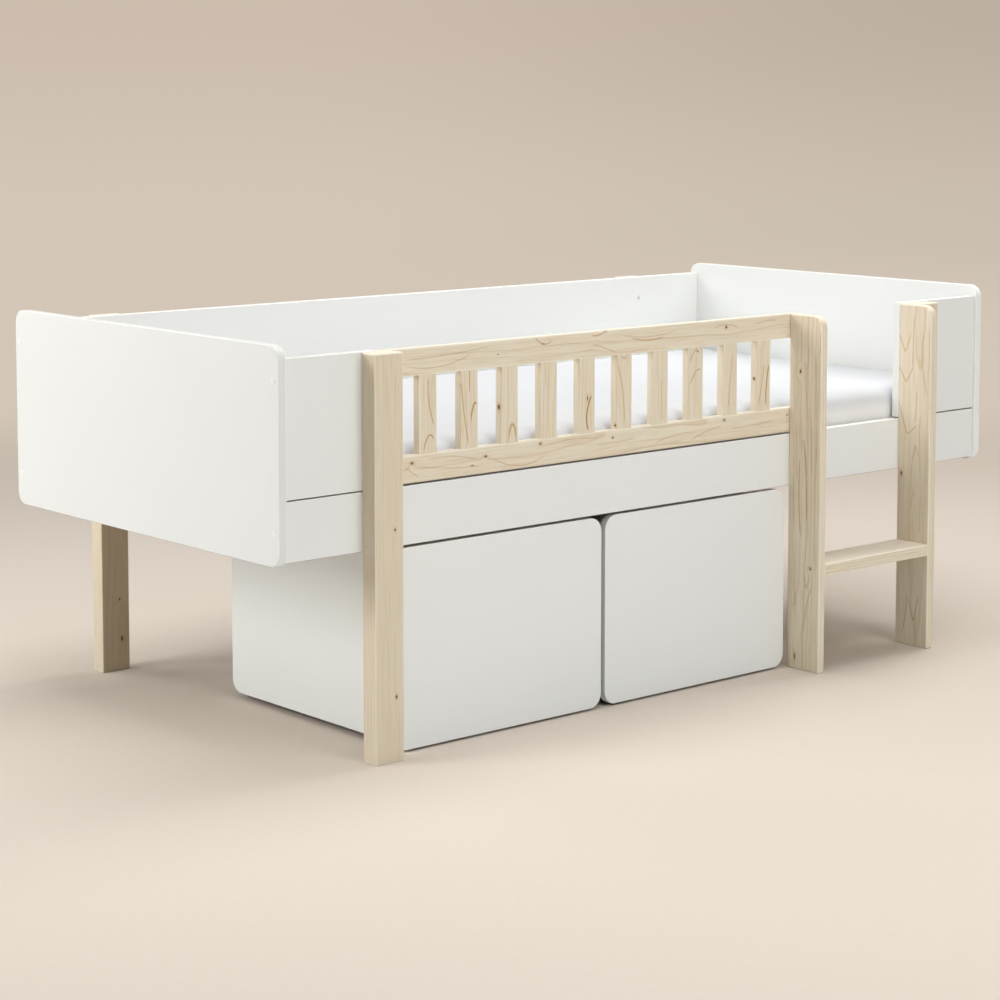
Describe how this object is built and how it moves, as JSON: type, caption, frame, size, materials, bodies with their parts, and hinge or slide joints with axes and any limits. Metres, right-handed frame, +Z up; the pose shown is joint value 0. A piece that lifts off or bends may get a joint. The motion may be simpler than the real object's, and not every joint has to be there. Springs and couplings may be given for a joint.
{
  "type": "cabin bed",
  "caption": "Low cabin bed of white panels on pine legs, with a baluster guard rail, a one-tread ladder, a slatted base with mattress and rolling storage boxes underneath.",
  "frame": {"origin": "middle of the bed's footprint, on the floor", "axes": "+X along the bed towards the ladder end, -Y towards the ladder side, +Z up"},
  "size_m": [2.052, 1.076, 0.82],
  "materials": {
    "white_lacquer": "white satin lacquer on board",
    "pine": "clear matt lacquer on solid pine, with small knots",
    "beech": "bare turned beech",
    "bed_linen": "white cotton fitted sheet over a foam mattress",
    "webbing": "woven polyester webbing",
    "zinc_steel": "bright zinc plating",
    "nylon": "moulded grey nylon",
    "white_plastic": "moulded white plastic"
  },
  "bodies": {
    "bed_frame": {"left_end_panel": "white_lacquer", "right_end_panel": "white_lacquer", "front_side_rail": "white_lacquer", "back_side_rail": "white_lacquer", "front_board_left": "white_lacquer", "front_board_right": "white_lacquer", "back_board": "white_lacquer", "leg_front_left": "pine", "leg_front_right": "pine", "leg_back_left": "pine", "leg_back_right": "pine", "guard_top_rail": "pine", "guard_bottom_rail": "pine", "guard_end_post": "pine", "guard_balusters": "pine", "ladder_stile_left": "pine", "ladder_stile_right": "pine", "ladder_tread": "pine", "tread_dowels": "beech", "ledger_front": "pine", "ledger_back": "pine", "ledger_screws": "zinc_steel", "bed_slats": "pine", "slat_webbing": "webbing", "slat_screws": "zinc_steel", "mattress": "bed_linen", "end_panel_screws": "zinc_steel", "screw_caps": "white_plastic", "frame_bolts": "zinc_steel", "sleeve_nuts": "zinc_steel"},
    "box_left": {"box_left_front": "white_lacquer", "box_left_side_a": "white_lacquer", "box_left_side_b": "white_lacquer", "box_left_back": "white_lacquer", "box_left_base": "white_lacquer", "box_left_dowels": "beech", "box_left_castor_forks": "zinc_steel", "box_left_castor_screws": "zinc_steel", "box_left_axles": "zinc_steel"},
    "box_left_wheel_1": {"box_left_wheel_1": "nylon"},
    "box_left_wheel_2": {"box_left_wheel_2": "nylon"},
    "box_left_wheel_3": {"box_left_wheel_3": "nylon"},
    "box_left_wheel_4": {"box_left_wheel_4": "nylon"},
    "box_right": {"box_right_front": "white_lacquer", "box_right_side_a": "white_lacquer", "box_right_side_b": "white_lacquer", "box_right_back": "white_lacquer", "box_right_base": "white_lacquer", "box_right_dowels": "beech", "box_right_castor_forks": "zinc_steel", "box_right_castor_screws": "zinc_steel", "box_right_axles": "zinc_steel"},
    "box_right_wheel_1": {"box_right_wheel_1": "nylon"},
    "box_right_wheel_2": {"box_right_wheel_2": "nylon"},
    "box_right_wheel_3": {"box_right_wheel_3": "nylon"},
    "box_right_wheel_4": {"box_right_wheel_4": "nylon"}
  },
  "joints": [
    {"name": "box_left_roll_out", "type": "slide", "parent": "bed_frame", "child": "box_left", "axis": [0, -1, 0], "range_m": [0, 0.62]},
    {"name": "box_left_wheel_1_turn", "type": "hinge", "parent": "box_left", "child": "box_left_wheel_1", "pos_m": [-0.6625, -0.363, 0.02], "axis": [1, 0, 0], "range_deg": [0, 1780]},
    {"name": "box_left_wheel_2_turn", "type": "hinge", "parent": "box_left", "child": "box_left_wheel_2", "pos_m": [-0.2825, -0.363, 0.02], "axis": [1, 0, 0], "range_deg": [0, 1780]},
    {"name": "box_left_wheel_3_turn", "type": "hinge", "parent": "box_left", "child": "box_left_wheel_3", "pos_m": [-0.6625, 0.084, 0.02], "axis": [1, 0, 0], "range_deg": [0, 1780]},
    {"name": "box_left_wheel_4_turn", "type": "hinge", "parent": "box_left", "child": "box_left_wheel_4", "pos_m": [-0.2825, 0.084, 0.02], "axis": [1, 0, 0], "range_deg": [0, 1780]},
    {"name": "box_right_roll_out", "type": "slide", "parent": "bed_frame", "child": "box_right", "axis": [0, -1, 0], "range_m": [0, 0.62]},
    {"name": "box_right_wheel_1_turn", "type": "hinge", "parent": "box_right", "child": "box_right_wheel_1", "pos_m": [-0.1075, -0.363, 0.02], "axis": [1, 0, 0], "range_deg": [0, 1780]},
    {"name": "box_right_wheel_2_turn", "type": "hinge", "parent": "box_right", "child": "box_right_wheel_2", "pos_m": [0.2725, -0.363, 0.02], "axis": [1, 0, 0], "range_deg": [0, 1780]},
    {"name": "box_right_wheel_3_turn", "type": "hinge", "parent": "box_right", "child": "box_right_wheel_3", "pos_m": [-0.1075, 0.084, 0.02], "axis": [1, 0, 0], "range_deg": [0, 1780]},
    {"name": "box_right_wheel_4_turn", "type": "hinge", "parent": "box_right", "child": "box_right_wheel_4", "pos_m": [0.2725, 0.084, 0.02], "axis": [1, 0, 0], "range_deg": [0, 1780]}
  ],
  "couplings": [
    {"joint": "box_left_wheel_1_turn", "follows": "box_left_roll_out", "rad_per_m": 50},
    {"joint": "box_left_wheel_2_turn", "follows": "box_left_roll_out", "rad_per_m": 50},
    {"joint": "box_left_wheel_3_turn", "follows": "box_left_roll_out", "rad_per_m": 50},
    {"joint": "box_left_wheel_4_turn", "follows": "box_left_roll_out", "rad_per_m": 50},
    {"joint": "box_right_wheel_1_turn", "follows": "box_right_roll_out", "rad_per_m": 50},
    {"joint": "box_right_wheel_2_turn", "follows": "box_right_roll_out", "rad_per_m": 50},
    {"joint": "box_right_wheel_3_turn", "follows": "box_right_roll_out", "rad_per_m": 50},
    {"joint": "box_right_wheel_4_turn", "follows": "box_right_roll_out", "rad_per_m": 50}
  ]
}
